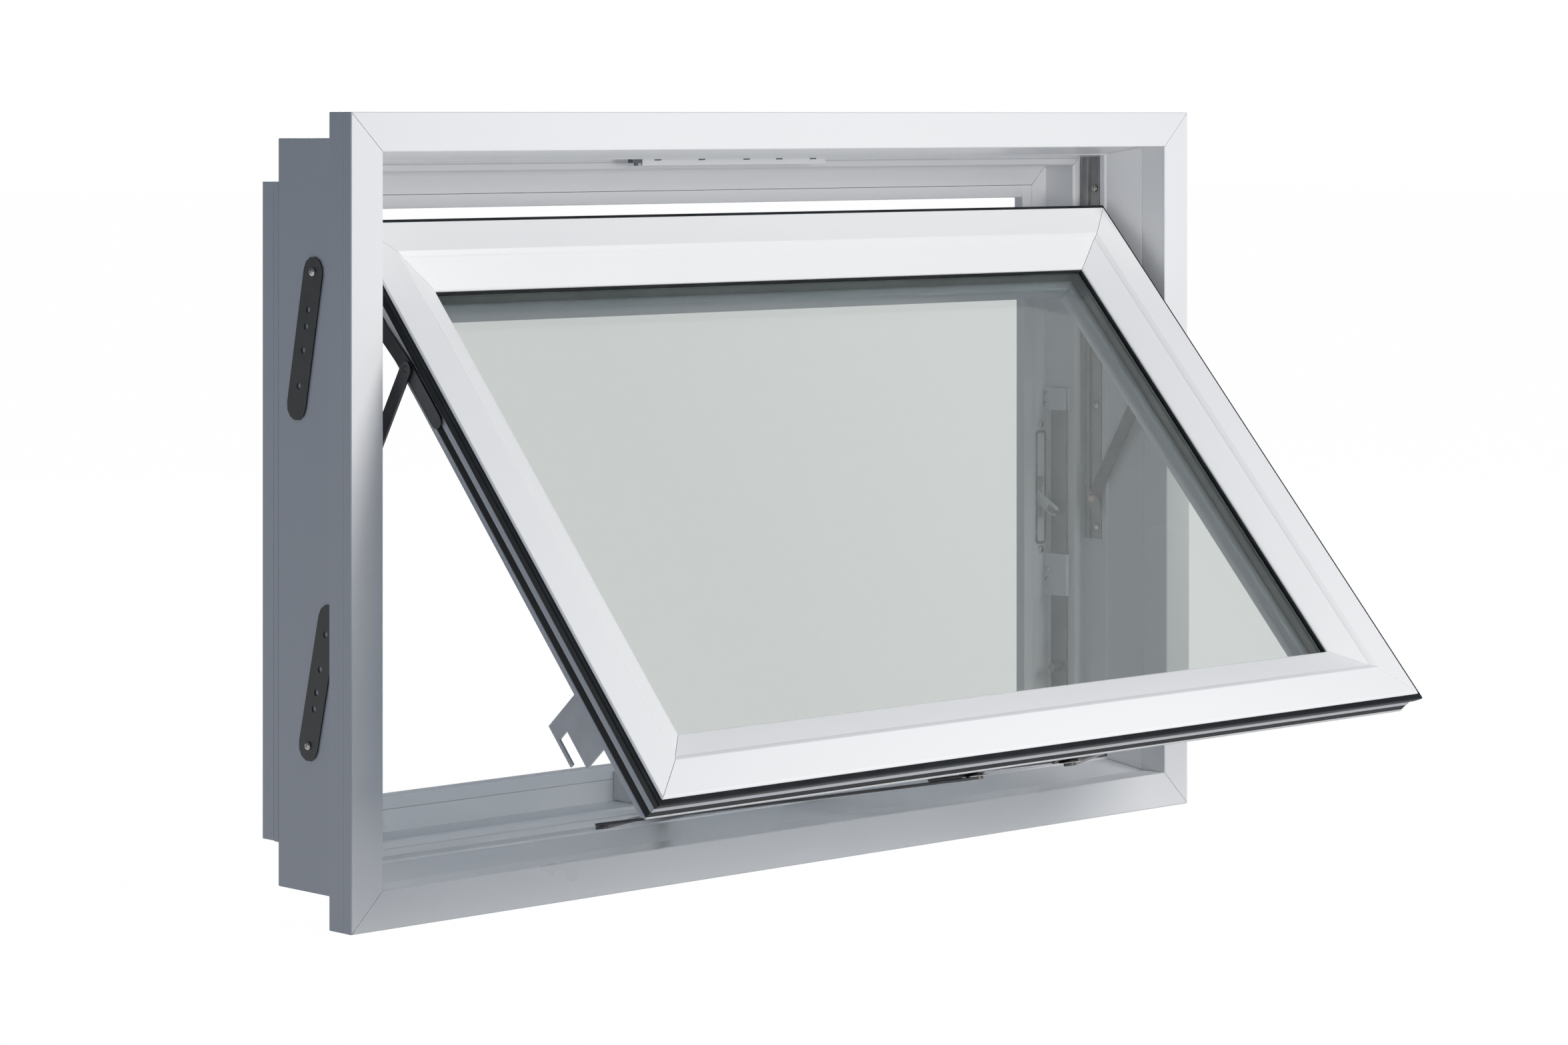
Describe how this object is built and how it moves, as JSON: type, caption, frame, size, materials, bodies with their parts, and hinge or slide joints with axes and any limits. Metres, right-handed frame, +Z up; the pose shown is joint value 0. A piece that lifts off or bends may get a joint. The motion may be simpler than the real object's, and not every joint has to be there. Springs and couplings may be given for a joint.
{
  "type": "awning window sash and frame with crank operator",
  "caption": "White vinyl awning window: a top-hung glazed sash pushed open at the bottom by a crank-driven dual-arm operator, in its frame with exterior casing, hinge tracks and jamb locks.",
  "frame": {"origin": "centre of the frame sill's underside, across the width and at mid depth of the frame body", "axes": "+X along the window's width, towards the right seen from outside; +Y into the building; +Z up"},
  "size_m": [1.0072, 0.5697, 0.6602],
  "materials": {
    "white_pvc": "satin extruded PVC",
    "black_rubber": "soft matte seal",
    "clear_glass": "clear, coated",
    "spacer_metal": "dark anodised",
    "hinge_steel": "bare stamped steel",
    "clip_steel": "dark galvanised",
    "painted_diecast": "white powder coat",
    "black_nylon": "moulded nylon"
  },
  "bodies": {
    "window_frame": {"frame_sill": "white_pvc", "frame_head": "white_pvc", "frame_jamb_left": "white_pvc", "frame_jamb_right": "white_pvc", "brickmould_sill": "white_pvc", "brickmould_head": "white_pvc", "brickmould_jamb_left": "white_pvc", "brickmould_jamb_right": "white_pvc", "stop_sill": "white_pvc", "stop_head": "white_pvc", "stop_jamb_left": "white_pvc", "stop_jamb_right": "white_pvc", "clip_left_upper": "clip_steel", "clip_left_lower": "clip_steel", "clip_right_upper": "clip_steel", "clip_right_lower": "clip_steel", "hinge_track_left": "hinge_steel", "hinge_track_right": "hinge_steel", "tie_bar_guide_left": "painted_diecast", "tie_bar_guide_right": "painted_diecast", "lock_escutcheon_left": "painted_diecast", "lock_escutcheon_right": "painted_diecast", "operator_housing": "painted_diecast", "operator_cover": "painted_diecast"},
    "support_arm_left": {"support_arm_left": "hinge_steel"},
    "support_arm_right": {"support_arm_right": "hinge_steel"},
    "sash": {"sash_bottom_rail": "white_pvc", "sash_top_rail": "white_pvc", "sash_stile_left": "white_pvc", "sash_stile_right": "white_pvc", "bead_bottom": "white_pvc", "bead_top": "white_pvc", "bead_left": "white_pvc", "bead_right": "white_pvc", "outer_pane": "clear_glass", "inner_pane": "clear_glass", "glass_spacer": "spacer_metal", "glazing_gasket": "black_rubber", "sash_seal_outer": "black_rubber", "sash_seal_middle": "black_rubber", "sash_arm_left": "hinge_steel", "sash_arm_right": "hinge_steel", "lock_keeper_left": "hinge_steel", "lock_keeper_right": "hinge_steel", "operator_bracket": "black_nylon"},
    "hinge_shoe_left": {"hinge_shoe_left": "black_nylon"},
    "hinge_shoe_right": {"hinge_shoe_right": "black_nylon"},
    "operator_rocker": {"operator_rocker": "hinge_steel"},
    "operator_arm_left": {"operator_arm_left": "hinge_steel"},
    "operator_arm_right": {"operator_arm_right": "hinge_steel"},
    "operator_link_left": {"operator_link_left": "hinge_steel"},
    "operator_link_right": {"operator_link_right": "hinge_steel"},
    "crank_spindle": {"crank_spindle": "hinge_steel", "crank_hub": "painted_diecast"},
    "crank_handle": {"crank_handle": "painted_diecast"},
    "crank_knob": {"crank_knob": "painted_diecast"},
    "lock_lever_left": {"lock_lever_left": "painted_diecast"},
    "lock_lever_right": {"lock_lever_right": "painted_diecast"},
    "tie_bar_left": {"tie_bar_left": "hinge_steel"},
    "tie_bar_right": {"tie_bar_right": "hinge_steel"}
  },
  "joints": [
    {"name": "support_arm_left_turn", "type": "hinge", "parent": "window_frame", "child": "support_arm_left", "pos_m": [0, 0.00675, 0.26599], "axis": [1, 0, 0], "range_deg": [-26.1, 1.7]},
    {"name": "sash_turn", "type": "hinge", "parent": "support_arm_left", "child": "sash", "pos_m": [0, -0.09093, 0.43128], "axis": [1, 0, 0], "range_deg": [-4.44, 67.82]},
    {"name": "support_arm_right_turn", "type": "hinge", "parent": "window_frame", "child": "support_arm_right", "pos_m": [0, 0.00675, 0.26599], "axis": [1, 0, 0], "range_deg": [-26.12, 1.72]},
    {"name": "hinge_shoe_left_turn", "type": "hinge", "parent": "sash", "child": "hinge_shoe_left", "pos_m": [0, 0.00675, 0.51837], "axis": [1, 0, 0], "range_deg": [-41.72, 2.74]},
    {"name": "hinge_shoe_right_turn", "type": "hinge", "parent": "sash", "child": "hinge_shoe_right", "pos_m": [0, 0.00675, 0.51837], "axis": [1, 0, 0], "range_deg": [-41.72, 2.74]},
    {"name": "operator_rocker_turn", "type": "hinge", "parent": "window_frame", "child": "operator_rocker", "pos_m": [-0.02, 0.01725, 0.0225], "axis": [1, 0, 0], "range_deg": [-0.9, 13.51]},
    {"name": "operator_arm_left_turn", "type": "hinge", "parent": "operator_rocker", "child": "operator_arm_left", "pos_m": [-0.076, 0.01725, 0.0225], "axis": [0, 0.1735, 0.9848], "range_deg": [-38.22, 2.51]},
    {"name": "operator_link_left_turn", "type": "hinge", "parent": "operator_arm_left", "child": "operator_link_left", "pos_m": [-0.3196, -0.17157, 0.05576], "axis": [0, 0.1735, 0.9848], "range_deg": [-5, 76.43]},
    {"name": "operator_arm_right_turn", "type": "hinge", "parent": "operator_rocker", "child": "operator_arm_right", "pos_m": [0.036, 0.01725, 0.0225], "axis": [0, 0.1735, 0.9848], "range_deg": [-2.51, 38.22]},
    {"name": "operator_link_right_turn", "type": "hinge", "parent": "operator_arm_right", "child": "operator_link_right", "pos_m": [0.2796, -0.17157, 0.05576], "axis": [0, 0.1735, 0.9848], "range_deg": [-76.43, 5]},
    {"name": "crank_turn", "type": "hinge", "parent": "window_frame", "child": "crank_spindle", "pos_m": [-0.02, 0.03575, 0.03772], "axis": [0, 0.9397, 0.342], "range_deg": [-283.38, 4322]},
    {"name": "crank_handle_fold", "type": "hinge", "parent": "crank_spindle", "child": "crank_handle", "pos_m": [-0.02, 0.11269, 0.06572], "axis": [1, 0, 0], "range_deg": [0, 60]},
    {"name": "crank_knob_spin", "type": "hinge", "parent": "crank_handle", "child": "crank_knob", "pos_m": [-0.02, 0.14825, 0.01493], "axis": [0, 0.8192, 0.5736], "continuous": true},
    {"name": "lock_lever_left_turn", "type": "hinge", "parent": "window_frame", "child": "lock_lever_left", "pos_m": [-0.443, 0.06484, 0.2644], "axis": [1, 0, 0], "range_deg": [-60, 0]},
    {"name": "tie_bar_left_slide", "type": "slide", "parent": "window_frame", "child": "tie_bar_left", "axis": [0, 0, 1], "range_m": [-0.0001, 0.0241]},
    {"name": "lock_lever_right_turn", "type": "hinge", "parent": "window_frame", "child": "lock_lever_right", "pos_m": [0.443, 0.06484, 0.2644], "axis": [1, 0, 0], "range_deg": [-60, 0]},
    {"name": "tie_bar_right_slide", "type": "slide", "parent": "window_frame", "child": "tie_bar_right", "axis": [0, 0, 1], "range_m": [-0.0001, 0.0241]}
  ],
  "couplings": [
    {"joint": "sash_turn", "follows": "support_arm_left_turn", "ratio": -2.5977},
    {"joint": "support_arm_right_turn", "follows": "support_arm_left_turn", "ratio": 1},
    {"joint": "hinge_shoe_left_turn", "follows": "support_arm_left_turn", "ratio": 1.5977},
    {"joint": "hinge_shoe_right_turn", "follows": "support_arm_left_turn", "ratio": 1.5977},
    {"joint": "operator_rocker_turn", "follows": "support_arm_left_turn", "ratio": -0.51684},
    {"joint": "operator_arm_left_turn", "follows": "support_arm_left_turn", "ratio": 1.4638},
    {"joint": "operator_link_left_turn", "follows": "support_arm_left_turn", "ratio": -2.9276},
    {"joint": "operator_arm_right_turn", "follows": "support_arm_left_turn", "ratio": -1.4638},
    {"joint": "operator_link_right_turn", "follows": "support_arm_left_turn", "ratio": 2.9276},
    {"joint": "crank_turn", "follows": "support_arm_left_turn", "ratio": -165.52},
    {"joint": "tie_bar_left_slide", "follows": "lock_lever_left_turn", "m_per_rad": -0.022918},
    {"joint": "tie_bar_right_slide", "follows": "lock_lever_right_turn", "m_per_rad": -0.022918}
  ]
}
